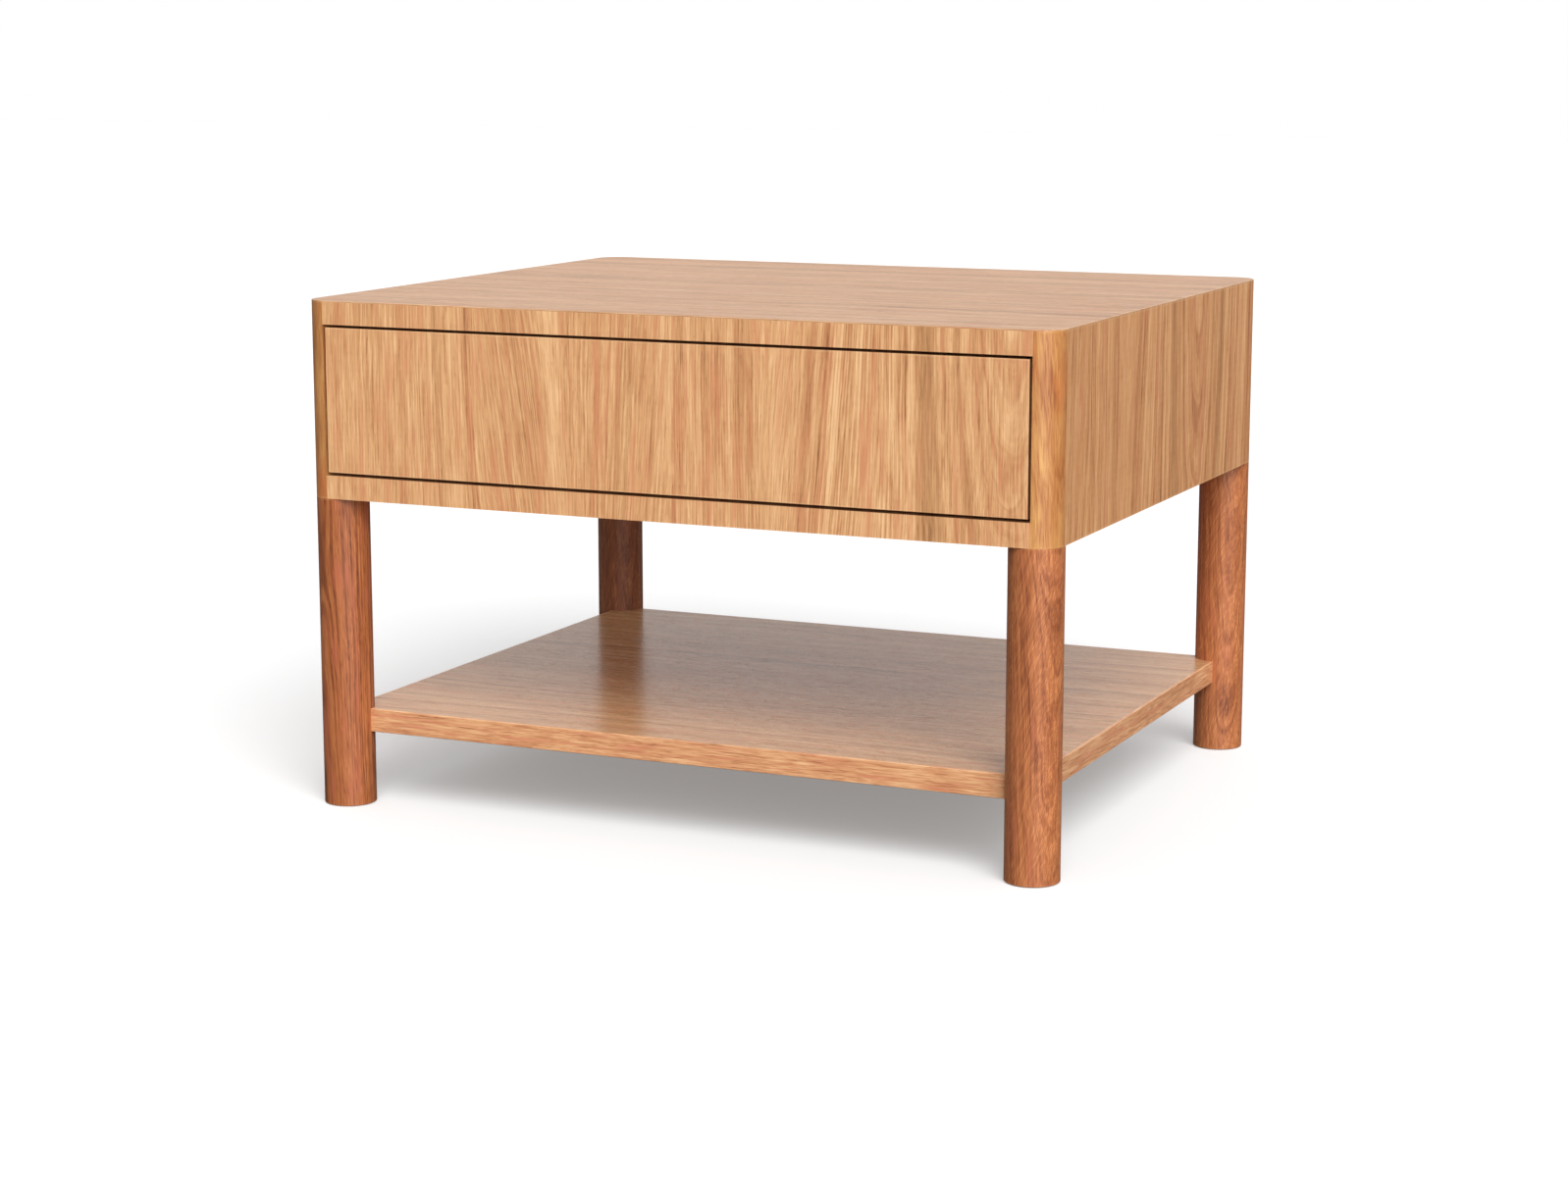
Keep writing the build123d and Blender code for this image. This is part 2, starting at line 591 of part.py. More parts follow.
# ---------------------------------------------------------------- push-to-open latches
STRIKE_RADIUS, STRIKE_THICKNESS = 8, 1
PRESS_CLEARANCE = 0.2  # left between the strike plates and the plungers when pressed in
BARREL_WIDTH, BARREL_HEIGHT, BARREL_LENGTH, BARREL_WALL, BARREL_ROUND = 14, 12, 47, 3, 2
EAR_WIDTH = LATCH_EAR_SPACING + BARREL_HEIGHT
PLUNGER_RADIUS, PLUNGER_LENGTH, BORE_RADIUS = 3.5, 40, 3.8
TIP_RADIUS, TIP_LENGTH, TIP_CHAMFER = 5.5, 4, 0.6
SPRING_RADIUS, SPRING_WIRE, SPRING_TURNS = 2.8, 0.3, 8

strike_face = BOX_BACK + STRIKE_THICKNESS
plunger_tip = strike_face + PRESS_IN + PRESS_CLEARANCE
plunger_end = plunger_tip + PLUNGER_LENGTH
barrel_mouth = INSIDE_Y - LATCH_EAR - BARREL_LENGTH
bore_end = INSIDE_Y - BARREL_WALL

with BuildPart() as strike_plates:
    with BuildSketch(Plane.XZ.offset(-BOX_BACK)):
        with Locations((-LATCH_X, LATCH_Z), (LATCH_X, LATCH_Z)):
            Circle(STRIKE_RADIUS)
    extrude(amount=-STRIKE_THICKNESS)
save(strike_plates.part, "strike_plates")

for side_name, side in SIDES.items():
    axis_x = side * LATCH_X
    with BuildPart() as housing:
        with BuildSketch(Plane.XZ.offset(-INSIDE_Y)):
            with Locations((axis_x, LATCH_Z)):
                RectangleRounded(EAR_WIDTH, BARREL_HEIGHT, BARREL_ROUND)
        extrude(amount=LATCH_EAR)
        with BuildSketch(Plane.XZ.offset(LATCH_EAR - INSIDE_Y)):
            with Locations((axis_x, LATCH_Z)):
                RectangleRounded(BARREL_WIDTH, BARREL_HEIGHT, BARREL_ROUND)
        extrude(amount=BARREL_LENGTH)
        with BuildSketch(Plane.XZ.offset(-bore_end)):
            with Locations((axis_x, LATCH_Z)):
                Circle(BORE_RADIUS)
        extrude(amount=bore_end - barrel_mouth, mode=Mode.SUBTRACT)
        add(latch_screw_holes, mode=Mode.SUBTRACT)
    save(housing.part, f"{side_name}_latch_housing")

    with BuildPart() as plunger:
        add(rod((axis_x, plunger_tip, LATCH_Z), (0, 1, 0), PLUNGER_LENGTH, PLUNGER_RADIUS))
        add(rod((axis_x, plunger_tip, LATCH_Z), (0, 1, 0), TIP_LENGTH, TIP_RADIUS))
        chamfer(plunger.edges().sort_by(Axis.Y)[0], TIP_CHAMFER)
    save(plunger.part, f"{side_name}_latch_plunger")

spring_length = bore_end - plunger_end - 2 * SPRING_WIRE
with BuildPart() as latch_springs:
    for side in (LEFT, RIGHT):
        coil_start = (side * LATCH_X, plunger_end + SPRING_WIRE, LATCH_Z)
        with BuildLine():
            coil = Helix(
                spring_length / SPRING_TURNS, spring_length, SPRING_RADIUS, coil_start, (0, 1, 0)
            )
        with BuildSketch(Plane(origin=coil @ 0, z_dir=coil % 0)):
            Circle(SPRING_WIRE)
        sweep(path=coil, is_frenet=True)
save(latch_springs.part, "latch_springs")
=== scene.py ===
import json
import math

import bmesh
import bpy
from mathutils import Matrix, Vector


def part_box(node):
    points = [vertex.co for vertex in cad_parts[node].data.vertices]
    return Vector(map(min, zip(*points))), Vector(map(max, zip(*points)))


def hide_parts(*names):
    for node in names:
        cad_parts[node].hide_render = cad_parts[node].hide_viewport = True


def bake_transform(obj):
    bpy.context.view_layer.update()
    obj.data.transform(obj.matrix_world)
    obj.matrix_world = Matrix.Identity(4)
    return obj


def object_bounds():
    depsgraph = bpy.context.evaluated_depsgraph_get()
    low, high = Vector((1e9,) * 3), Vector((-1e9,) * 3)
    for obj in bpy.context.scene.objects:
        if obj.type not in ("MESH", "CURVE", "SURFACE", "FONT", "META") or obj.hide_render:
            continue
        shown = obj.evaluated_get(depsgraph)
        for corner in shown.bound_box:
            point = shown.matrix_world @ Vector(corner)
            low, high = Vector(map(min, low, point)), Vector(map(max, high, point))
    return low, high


# Looks for the side table with a drawer. The table stands on the floor with its origin under the
# middle of the top, +Z up, the drawer opening towards -Y. Lengths are metres, angles radians.

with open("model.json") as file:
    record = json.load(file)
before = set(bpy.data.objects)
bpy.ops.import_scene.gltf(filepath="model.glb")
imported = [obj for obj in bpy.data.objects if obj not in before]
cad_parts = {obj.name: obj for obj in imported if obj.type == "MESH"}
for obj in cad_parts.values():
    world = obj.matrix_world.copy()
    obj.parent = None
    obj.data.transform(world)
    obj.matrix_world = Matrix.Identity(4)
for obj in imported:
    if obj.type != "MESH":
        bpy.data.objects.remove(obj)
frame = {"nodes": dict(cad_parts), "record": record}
cad_box = [list(corner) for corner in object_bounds()]
nodes = frame["nodes"]
TABLE_TOP = cad_box[1][2]
MM = 0.001

# ------------------------------------------------------------------ colours, as display values 0-255
# The third colour here is painted shade for the gap round the drawer front.
PEACH, OLIVE, GAP_SHADE_COLOUR = (210, 134, 96), (164, 126, 82), (74, 38, 15)


def linear(rgb):
    """A display colour from 0 to 255, as the linear colour with alpha that a shader takes."""
    parts = [c / 255 for c in rgb]
    return [c / 12.92 if c <= 0.04045 else ((c + 0.055) / 1.055) ** 2.4 for c in parts] + [1.0]


class Graph:
    """One material's nodes. Each call adds a node and returns the socket it gives."""

    def __init__(self, name):
        self.material = bpy.data.materials.new(name)
        self.material.use_nodes = True
        self.tree = self.material.node_tree
        self.tree.nodes.clear()
        self.shader = self.node("ShaderNodeBsdfPrincipled")
        output = self.node("ShaderNodeOutputMaterial")
        self.tree.links.new(self.shader.outputs["BSDF"], output.inputs["Surface"])
        place = self.node("ShaderNodeSeparateXYZ")
        coordinates = self.node("ShaderNodeTexCoord")
        self.tree.links.new(coordinates.outputs["Object"], place.inputs[0])
        self.place = dict(zip("XYZ", place.outputs))

    def node(self, kind, **settings):
        node = self.tree.nodes.new(kind)
        for name, value in settings.items():
            setattr(node, name, value)
        return node

    def feed(self, socket, value):
        """Link the value if it is another node's socket, or set it as a constant."""
        if isinstance(value, bpy.types.NodeSocket):
            self.tree.links.new(value, socket)
        else:
            socket.default_value = value

    def math(self, operation, *values, clamp=False):
        node = self.node("ShaderNodeMath", operation=operation, use_clamp=clamp)
        for socket, value in zip(node.inputs, values):
            self.feed(socket, value)
        return node.outputs[0]

    def times(self, a, b):
        return self.math("MULTIPLY", a, b)

    def plus(self, a, b):
        return self.math("ADD", a, b)

    def minus(self, a, b):
        return self.math("SUBTRACT", a, b)

    def centred(self, value):
        """A value from 0 to 1, moved to lie about 0."""
        return self.minus(value, 0.5)

    def tone(self, shade, contrast, middle):
        """Shade, 0 where neither dark nor pale, as a place from 0 to 1 along a ramp."""
        return self.math("MULTIPLY_ADD", shade, contrast, middle, clamp=True)

    def step(self, value, low, high, to_low=0.0, to_high=1.0, interpolation="SMOOTHSTEP"):
        """A smooth step from to_low to to_high as value goes from low to high."""
        node = self.node("ShaderNodeMapRange", interpolation_type=interpolation)
        for socket, number in zip(node.inputs, (value, low, high, to_low, to_high)):
            self.feed(socket, number)
        return node.outputs[0]

    def point(self, x, y, z):
        node = self.node("ShaderNodeCombineXYZ")
        for socket, value in zip(node.inputs, (x, y, z)):
            self.feed(socket, value)
        return node.outputs[0]

    def noise(self, point, detail=1.0, roughness=0.5, scale=1.0):
        node = self.node("ShaderNodeTexNoise")
        self.feed(node.inputs["Vector"], point)
        self.feed(node.inputs["Scale"], scale)
        self.feed(node.inputs["Detail"], detail)
        self.feed(node.inputs["Roughness"], roughness)
        return node.outputs["Fac"]

    def streak_noise(self, across, along, through, width, length, detail=1.0, seed=0.0):
        """Noise drawn out along the grain, its features about width by length."""
        return self.noise(
            self.point(
                self.math("MULTIPLY_ADD", across, 1 / width, seed),
                self.times(along, 1 / length),
                self.times(through, 1 / width),
            ),
            detail,
        )

    def ramp(self, value, stops):
        """A colour ramp through (position, colour with alpha) stops. Returns colour and alpha."""
        node = self.node("ShaderNodeValToRGB")
        self.feed(node.inputs[0], value)
        elements = node.color_ramp.elements
        while len(elements) < len(stops):
            elements.new(1.0)
        for element, (position, colour) in zip(elements, stops):
            element.position = position
            element.color = colour
        return node.outputs

    def curve(self, value, low, high, points):
        """A smooth curve through points, for a value between low and high."""
        node = self.node("ShaderNodeFloatCurve")
        reach = high - low
        self.feed(node.inputs["Value"], self.math("MULTIPLY_ADD", value, 1 / reach, -low / reach))
        curve = node.mapping.curves[0]
        scaled = [((x - low) / reach, y) for x, y in points]
        while len(curve.points) < len(scaled):
            curve.points.new(0.5, 0.5)
        for point, location in zip(curve.points, scaled):
            point.location = location
        node.mapping.update()
        return node.outputs[0]

    def mix(self, factor, a, b):
        """Colour a where factor is 0 and colour b where it is 1."""
        node = self.node("ShaderNodeMix", data_type="RGBA", clamp_factor=True)
        self.feed(node.inputs[0], factor)
        self.feed(node.inputs[6], a)
        self.feed(node.inputs[7], b)
        return node.outputs[2]

    def bump(self, height, depth):
        """Relief of the given depth, for a height from 0 to 1."""
        node = self.node("ShaderNodeBump")
        self.feed(node.inputs["Distance"], depth)
        self.feed(node.inputs["Height"], height)
        self.feed(self.shader.inputs["Normal"], node.outputs[0])

    def surface(self, **values):
        """Set or link the shader's sockets: base_color, roughness, metallic and so on."""
        for name, value in values.items():
            words = name.replace("_", " ").title().replace("Ior", "IOR")
            self.feed(self.shader.inputs[words], value)
        return self.material


# ------------------------------------------------------------------ oak veneer
# The front, sides and back are cut from one flitch, so they share one figure. Across the grain it is
# measured in millimetres from the middle of the front. Each streak is (place, half width, darkness,
# pinkness, olive tint), and a negative darkness is a pale streak.
FLITCH_LOW, FLITCH_HIGH = -300, 300
FLITCH_STREAKS = [
    (-268, 5, 0.10, 0.45, 0),
    (-253, 5, 0.22, 0.30, 0),
    (-240, 3, 0.30, 0.40, 0),
    (-227, 5, 0.10, 0.85, 0),
    (-213, 6, 0.50, 0.55, 0),
    (-196, 2, 0.30, 0.20, 0),
    (-183, 3, 0.40, 0.00, 0.4),
    (-170, 3, -0.50, 0.00, 0),
    (-157, 4, 0.70, 0.60, 0),
    (-142, 4, 0.48, 0.60, 0),
    (-130, 4, 0.42, 0.55, 0),
    (-119, 3, 0.50, 0.50, 0),
    (-110, 10, 0.55, 0.45, 0.1),
    (-99, 3, 0.45, 0.45, 0),
    (-86, 10, -0.45, 0.00, 0),
    (-71, 4, 0.08, 0.50, 0),
    (-51, 4, 0.38, 0.70, 0),
    (-41, 3, 0.28, 0.45, 0),
    (-33, 3, 0.62, 0.10, 0.4),
    (-26, 3, 0.50, 0.00, 0.5),
    (-15, 7, 0.22, 0.60, 0),
    (-6, 3, 0.50, 0.35, 0),
    (8, 2, -0.60, 0.00, 0),
    (12, 2, 0.55, 0.35, 0),
    (18, 3, 0.50, 0.30, 0),
    (24, 2, -0.40, 0.00, 0),
    (37, 4, 0.60, 0.70, 0),
    (46, 6, 0.22, 0.40, 0),
    (57, 3, -0.45, 0.00, 0),
    (63, 5, 0.70, 0.40, 0.2),
    (71.5, 3, 0.78, 0.30, 0.2),
    (90, 16, -0.30, 0.10, 0),
    (115, 4, 0.85, 0.35, 0.2),
    (126, 4, 0.95, 0.55, 0),
    (136, 4, -0.75, 0.00, 0),
    (162, 10, -0.10, 0.45, 0),
    (193, 3, -0.60, 0.00, 0),
    (203, 7, 0.70, 0.00, 0.8),
    (209, 3, 0.35, 0.00, 0.5),
    (217, 3, 0.60, 0.20, 0.3),
    (226, 3, 0.95, 0.15, 0.5),
    (233, 2, -0.20, 0.00, 0),
    (238, 2.5, 0.75, 0.55, 0),
    (244, 2, 0.95, 0.85, 0),
    (254, 2, 0.90, 0.85, 0),
]
# Sideways lean of the grain per unit of height, at places across the flitch.
FLITCH_LEAN = [
    (-300, 0.0),
    (-210, 0.0),
    (-160, -0.03),
    (-140, -0.09),
    (-110, -0.13),
    (-90, -0.06),
    (-60, 0.02),
    (-33, 0.05),
    (-5, 0.07),
    (15, 0.0),
    (60, -0.01),
    (75, -0.01),
    (95, 0.08),
    (130, 0.08),
    (160, 0.05),
    (190, 0.0),
    (300, 0.0),
]
LEAN_UNIT = 0.2  # a curve's full height stands for leans from minus to plus this
# Strength of the fine pinstripes at places across the flitch.
FLITCH_PINSTRIPES = [
    (-300, 0.35),
    (-200, 0.45),
    (-150, 0.35),
    (-80, 0.30),
    (0, 0.45),
    (70, 0.35),
    (85, 0.12),
    (108, 0.15),
    (138, 0.85),
    (188, 0.85),
    (200, 0.40),
    (240, 0.35),
    (268, 0.30),
    (300, 0.12),
]
FLITCH_WANDER = 5 * MM  # how far the flitch's grain strays sideways
ARCH_CENTRE = 268 * MM  # the nested arches' middle line
ARCH_FROM, ARCH_FULL = 195 * MM, 212 * MM  # where lines that lean give way to arches
RING_RADIUS, RING_TAPER = 20 * MM, 0.15  # smallest ring at mid height, and its shrinking upwards
RING_UNEVENNESS = 6 * MM
CASE_MIDDLE = (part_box("front_bottom_rail")[0].z + TABLE_TOP) / 2
# From a place on a side or on the back to its place in the flitch.
SIDE_SHIFT, LEFT_SHIFT, BACK_SHIFT = 188 * MM, -60 * MM, 20 * MM
STREAKS_IN_RAMP = 10  # a colour ramp has room for 32 stops, and a streak takes three


def streak_tones(graph, across, streaks, low, high):
    """Darkness, pinkness and olive tint from a list of streaks, for a place across the grain."""
    position = graph.step(across, low * MM, high * MM, interpolation="LINEAR")
    ramps = math.ceil(len(streaks) / STREAKS_IN_RAMP)
    tones, olive_tones = [], []
    for first in range(ramps):
        stops = []
        for place, half, dark, pink, olive in streaks[first::ramps]:
            stops.append((place - half, (0, 0, 0, 0)))
            stops.append((place, (max(dark, 0), max(-dark, 0), pink, olive)))
            stops.append((place + half, (0, 0, 0, 0)))
        scaled = [((place - low) / (high - low), colour) for place, colour in stops]
        colour, alpha = graph.ramp(position, scaled)
        tones.append(colour)
        olive_tones.append(alpha)
    total, olive = tones[0], olive_tones[0]
    for tone, olive_tone in zip(tones[1:], olive_tones[1:]):
        adder = graph.node("ShaderNodeVectorMath", operation="ADD")
        graph.feed(adder.inputs[0], total)
        graph.feed(adder.inputs[1], tone)
        total, olive = adder.outputs[0], graph.plus(olive, olive_tone)
    split = graph.node("ShaderNodeSeparateXYZ")
    graph.feed(split.inputs[0], total)
    return graph.minus(split.outputs[0], split.outputs[1]), split.outputs[2], olive


def arched(graph, across, along):
    """Across the grain, but bent into nested arches at the right of the flitch."""
    offset = graph.minus(across, ARCH_CENTRE)
    ring = graph.math("MULTIPLY_ADD", graph.minus(along, CASE_MIDDLE), -RING_TAPER, RING_RADIUS)
    uneven = graph.streak_noise(
        across, along, 0.0, width=14 * MM, length=26 * MM, detail=1.0, seed=33.0
    )
    ring = graph.math("MULTIPLY_ADD", graph.centred(uneven), RING_UNEVENNESS, ring)
    radius = graph.math("SQRT", graph.plus(graph.times(offset, offset), graph.times(ring, ring)))
    bent = graph.minus(ARCH_CENTRE, radius)
    share = graph.step(across, ARCH_FROM, ARCH_FULL)
    return graph.plus(across, graph.times(share, graph.minus(bent, across)))


def from_middle(graph, name, axis):
    """Distance from a node's middle along an axis, and half the node's length along it."""
    low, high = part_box(name)
    index = "XYZ".index(axis)
    away = graph.math("ABSOLUTE", graph.minus(graph.place[axis], (low[index] + high[index]) / 2))
    return away, (high[index] - low[index]) / 2


def rubbed_edge(graph, name, axes, width=1.8 * MM):
    """Where hands and cloths have rubbed: a broken line along a node's outline across the axes."""
    nearest = None
    for axis in axes:
        away, half_length = from_middle(graph, name, axis)
        inside = graph.math("ABSOLUTE", graph.minus(away, half_length))
        nearest = inside if nearest is None else graph.math("MINIMUM", nearest, inside)
    place = graph.point(*graph.place.values())
    patches = graph.noise(place, detail=2.0, roughness=0.6, scale=70.0)
    broken = graph.step(patches, 0.35, 0.65, to_low=0.25)
    return graph.times(graph.step(nearest, 0.4 * width, width, to_low=1.0, to_high=0.0), broken)


# ------------------------------------------------------------------ finishing oak veneer
RUB_PALER, RUB_SMOOTHER = 0.35, 0.08  # what rubbing does to colour and to roughness
FIBRE_ROUGHNESS, PORE_ROUGHNESS = 0.14, 0.15  # roughness that full fibres and pores add
FIBRE_HEIGHT, PORE_DEPTH = 0.5, 0.8  # shares of the relief
VENEER_RELIEF, SOLID_RELIEF = 0.04 * MM, 0.05 * MM
# How strongly each layer of the figure darkens veneer.
CLOUDS, FIBRES, DASHES, PORES, STRIPES = 0.45, 2.3, 0.28, 0.25, 4.4
PINKEST, OLIVEST = 0.55, 0.45  # the most of each tint that is mixed in
RAMP_STOPS = (0.0, 0.34, 0.66, 1.0)


def oak_surface(
    graph, across, grain, along, through, tones, stripes, palette, roughness, width, rub, gap_shade=0.0
):
    """Finish an oak material. Across follows the growth rings, and grain only the straight fibres."""
    dark, pink, olive = tones
    place = (grain, along, through)
    clouds = graph.streak_noise(*place, width=22 * MM, length=90 * MM, seed=3.1)
    rings = graph.streak_noise(
        across, along, through, width=width, length=160 * width, detail=2.0, seed=11.0
    )
    fibre = graph.streak_noise(*place, width=1.1 * MM, length=38 * MM, detail=2.0, seed=5.0)
    dash = graph.streak_noise(*place, width=1.0 * MM, length=16 * MM, detail=0.0, seed=23.0)
    dashes = graph.minus(graph.step(dash, 0.60, 0.70), graph.step(dash, 0.40, 0.30))
    pore = graph.streak_noise(*place, width=0.40 * MM, length=6 * MM, detail=0.0, seed=17.0)
    pores = graph.step(pore, 0.60, 0.72)
    shade = graph.times(dark, graph.step(clouds, 0.25, 0.75, to_low=0.40, to_high=0.95))
    for layer, strength in (
        (graph.centred(clouds), CLOUDS),
        (graph.centred(fibre), FIBRES),
        (dashes, DASHES),
        (pores, PORES),
        (graph.times(graph.centred(rings), stripes), STRIPES),
    ):
        shade = graph.plus(shade, graph.times(layer, strength))
    tone = graph.tone(shade, contrast=0.5, middle=0.36)
    colour = graph.ramp(tone, list(zip(RAMP_STOPS, map(linear, palette))))[0]
    flush = graph.streak_noise(*place, width=3.6 * MM, length=60 * MM, detail=1.0, seed=29.0)
    pink_streaks = graph.times(pink, graph.step(flush, 0.35, 0.6))
    rosy = graph.plus(pink_streaks, graph.step(flush, 0.50, 0.72, to_high=0.7))
    colour = graph.mix(graph.math("MULTIPLY", rosy, PINKEST, clamp=True), colour, linear(PEACH))
    colour = graph.mix(graph.math("MULTIPLY", olive, OLIVEST, clamp=True), colour, linear(OLIVE))
    colour = graph.mix(graph.times(rub, RUB_PALER), colour, linear(palette[0]))
    # Painted shade in the gap round the drawer front.
    colour = graph.mix(gap_shade, colour, linear(GAP_SHADE_COLOUR))
    fibre_gloss = graph.plus(graph.times(fibre, FIBRE_ROUGHNESS), roughness - FIBRE_ROUGHNESS / 2)
    gloss = graph.math("MULTIPLY_ADD", rub, -RUB_SMOOTHER, fibre_gloss)
    height = graph.minus(graph.times(fibre, FIBRE_HEIGHT), graph.times(pores, PORE_DEPTH))
    graph.bump(height, VENEER_RELIEF)
    gloss = graph.plus(gloss, graph.times(pores, PORE_ROUGHNESS))
    return graph.surface(base_color=colour, roughness=gloss)


# Palettes run from pale to brown. The core is the board under the top veneer.
CORE_PALETTE = ((240, 190, 138), (220, 163, 111), (196, 134, 86), (148, 94, 58))
FRONT_PALETTE = ((240, 194, 143), (220, 167, 117), (196, 138, 92), (148, 97, 63))
SIDE_PALETTE = ((237, 185, 131), (218, 158, 104), (194, 129, 79), (146, 90, 52))
# The top's colours are darker than the front's veneer, as painted shade against the light that falls
# more strongly on the top.
TOP_PALETTE = ((218, 176, 136), (196, 149, 107), (170, 122, 82), (124, 82, 52))
# The shelf's colours are darker than the front's veneer, as painted shade for the shade under the
# case.
SHELF_PALETTE = ((220, 178, 134), (200, 152, 107), (172, 124, 82), (124, 84, 53))

# The gap round the drawer front gets painted shade: a dark band just inside it, full near the front
# face and gone a few millimetres in.
HALF_GAP = MM  # half the gap round the drawer front
GAP_SHADE_SHARE, GAP_SHADE_FROM, GAP_SHADE_TO = 0.85, 0.95 * MM, 1.3 * MM  # share, and distances from mid gap
GAP_SHADE_DEPTH, GAP_SHADE_GONE = 2.5 * MM, 5 * MM  # how far in it is full, and where it ends


def painted_gap_shade(graph):
    """Painted shade: a dark band just inside the gap round the drawer front, gone a few millimetres
    in.
    """
    across, half_width = from_middle(graph, "drawer_front", "X")
    upwards, half_height = from_middle(graph, "drawer_front", "Z")
    across = graph.minus(across, half_width + HALF_GAP)
    upwards = graph.minus(upwards, half_height + HALF_GAP)
    away = graph.math("ABSOLUTE", graph.math("MAXIMUM", across, upwards))
    inwards = graph.minus(graph.place["Y"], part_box("drawer_front")[0].y)
    shallow = graph.step(inwards, GAP_SHADE_DEPTH, GAP_SHADE_GONE, to_low=1.0, to_high=0.0)
    return graph.times(graph.step(away, GAP_SHADE_FROM, GAP_SHADE_TO, to_low=GAP_SHADE_SHARE, to_high=0.0), shallow)


def flitch_veneer(name, across_axis, rubbed, palette, shift=0.0, direction=1.0, crisp=1.0):
    """Upright veneer from the shared flitch. Its grain is crossed along X or, on a side, along Y."""
    graph = Graph(name)
    through_axis = "Y" if across_axis == "X" else "X"
    along, through = graph.place["Z"], graph.place[through_axis]
    across = graph.math("MULTIPLY_ADD", graph.place[across_axis], direction, shift)
    wander = graph.streak_noise(across, along, through, width=40 * MM, length=130 * MM, seed=1.7)
    across = graph.math("MULTIPLY_ADD", graph.centred(wander), FLITCH_WANDER, across)
    lean_points = [(place * MM, 0.5 + lean / (2 * LEAN_UNIT)) for place, lean in FLITCH_LEAN]
    lean = graph.curve(across, FLITCH_LOW * MM, FLITCH_HIGH * MM, lean_points)
    lean = graph.math("MULTIPLY_ADD", lean, 2 * LEAN_UNIT, -LEAN_UNIT)
    height = graph.minus(along, CASE_MIDDLE)
    upright = graph.minus(across, graph.times(lean, height))
    place = arched(graph, upright, along)
    tones = streak_tones(graph, place, FLITCH_STREAKS, FLITCH_LOW, FLITCH_HIGH)
    stripe_points = [(where * MM, strength) for where, strength in FLITCH_PINSTRIPES]
    stripes = graph.curve(place, FLITCH_LOW * MM, FLITCH_HIGH * MM, stripe_points)
    stripes = graph.times(stripes, crisp)
    # Only the drawer front carries the painted shade of the gap round it.
    gap_shade = painted_gap_shade(graph) if rubbed == "drawer_front" else 0.0
    rub = rubbed_edge(graph, rubbed, (across_axis, "Z"))
    return oak_surface(
        graph, place, upright, along, through, tones, stripes, palette,
        roughness=0.36, width=1.7 * MM, rub=rub, gap_shade=gap_shade,
    )


# ------------------------------------------------------------------ top and shelf veneer
# Left to right grain; a place across it is measured in millimetres towards the back.
FLAT_LOW, FLAT_HIGH, FLAT_WANDER = -260, 260, 45 * MM
TOP_STREAKS = [
    (-205, 6, 0.35, 0.2, 0.2),
    (-176, 14, -0.20, 0.1, 0),
    (-150, 3, 0.20, 0.3, 0),
    (-128, 5, 0.60, 0.2, 0.2),
    (-119, 3, 0.55, 0.2, 0.2),
    (-104, 10, -0.30, 0.1, 0),
    (-86, 4, 0.15, 0.2, 0),
    (-70, 5, 0.55, 0.1, 0.4),
    (-58, 3, 0.30, 0.2, 0),
    (-30, 14, 0.10, 0.4, 0),
    (0, 10, -0.20, 0.1, 0),
    (28, 14, 0.35, 0.1, 0.4),
    (60, 5, 0.20, 0.4, 0),
    (92, 12, -0.15, 0.2, 0),
    (128, 6, 0.30, 0.3, 0),
    (150, 8, -0.20, 0.1, 0),
    (180, 10, 0.40, 0.1, 0.3),
    (212, 10, -0.10, 0.5, 0),
    (238, 5, 0.30, 0.2, 0),
]
SHELF_STREAKS = [
    (-215, 8, -0.25, 0.3, 0),
    (-196, 4, 0.35, 0.2, 0.1),
    (-170, 5, 0.40, 0.2, 0.2),
    (-150, 10, -0.20, 0.4, 0),
    (-128, 4, 0.40, 0.2, 0.2),
    (-112, 3, 0.50, 0.2, 0.1),
    (-92, 3, 0.50, 0.2, 0.2),
    (-74, 3, 0.45, 0.2, 0.1),
    (-50, 12, -0.15, 0.4, 0),
    (-20, 4, 0.30, 0.2, 0),
    (12, 12, 0.15, 0.2, 0.2),
    (60, 6, 0.40, 0.1, 0.3),
    (96, 4, 0.45, 0.1, 0.3),
    (135, 5, 0.40, 0.1, 0.3),
    (170, 8, -0.20, 0.2, 0),
    (200, 6, 0.35, 0.1, 0.3),
]


def flat_veneer(name, rubbed, streaks, seed, palette, roughness):
    """Veneer with its grain from left to right."""
    graph = Graph(name)
    across, along, through = graph.place["Y"], graph.place["X"], graph.place["Z"]
    wander = graph.streak_noise(
        across, along, through, width=130 * MM, length=420 * MM, detail=1.0, seed=seed
    )
    across = graph.math("MULTIPLY_ADD", graph.centred(wander), FLAT_WANDER, across)
    rub = rubbed_edge(graph, rubbed, "XY")
    tones = streak_tones(graph, across, streaks, FLAT_LOW, FLAT_HIGH)
    return oak_surface(
        graph, across, across, along, through, tones, 0.5, palette,
        roughness=roughness, width=4.5 * MM, rub=rub,
    )


# ------------------------------------------------------------------ solid oak
# Palettes are pale, middle, tan, brown and blush.
LINED_LEG = ((207, 132, 81), (175, 103, 58), (142, 76, 40), (83, 42, 23), (183, 99, 69))
FLECKED_LEG = ((216, 141, 90), (184, 112, 66), (156, 88, 50), (104, 55, 32), (184, 105, 70))
# The back left leg's colours are darker than the other legs': painted shade, for the shade under the
# case.
SHADED_LEG = ((176, 111, 70), (145, 86, 50), (118, 66, 38), (78, 43, 27), (142, 82, 55))
POST_PALETTE = ((219, 166, 98), (197, 137, 80), (175, 109, 59), (140, 79, 42), (196, 105, 56))
EDGE_PALETTE = ((240, 190, 142), (220, 162, 116), (200, 136, 94), (156, 102, 68), (210, 130, 98))


